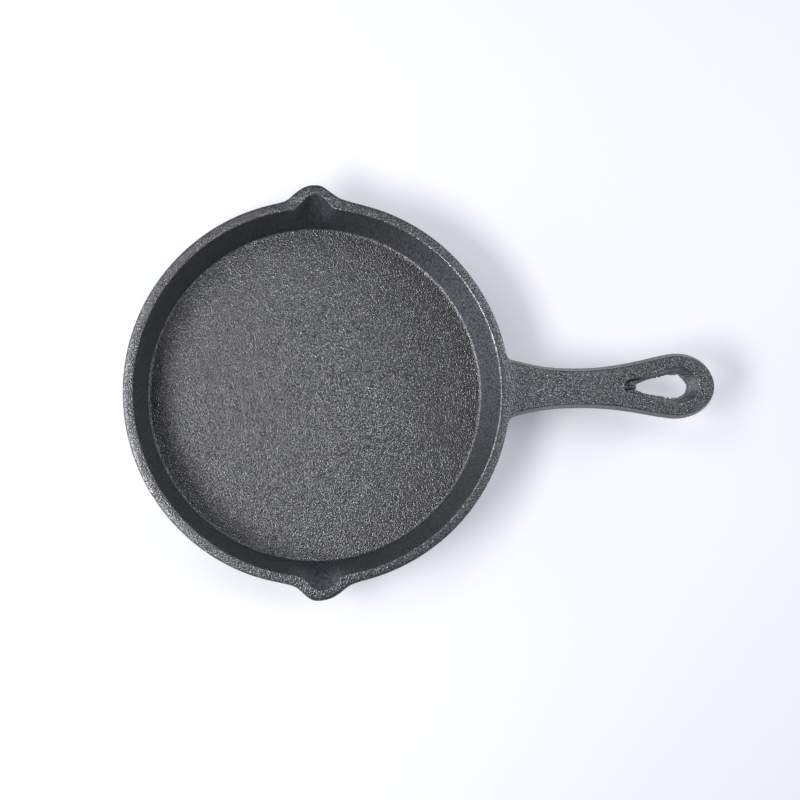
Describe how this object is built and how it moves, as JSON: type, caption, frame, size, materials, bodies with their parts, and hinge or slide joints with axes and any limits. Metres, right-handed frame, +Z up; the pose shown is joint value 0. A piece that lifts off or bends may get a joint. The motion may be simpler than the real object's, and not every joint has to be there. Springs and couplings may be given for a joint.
{
  "type": "cast iron skillet",
  "caption": "Round cast iron frying pan with a pouring lip on each side and a flat integral handle pierced by a teardrop hanging hole, seasoned black.",
  "frame": {"origin": "centre of the pan's flat underside, on the surface the skillet stands on", "axes": "+X from the pan's centre along the handle, +Y towards the pouring lip on the left of someone looking along the handle away from the pan, +Z up, out of the pan"},
  "size_m": [0.2493, 0.1715, 0.03],
  "materials": {
    "cast_iron": "sand-cast orange-peel grain under a thin baked-on oil seasoning, satin black"
  },
  "bodies": {
    "root": {"skillet_casting": "cast_iron"}
  },
  "joints": []
}
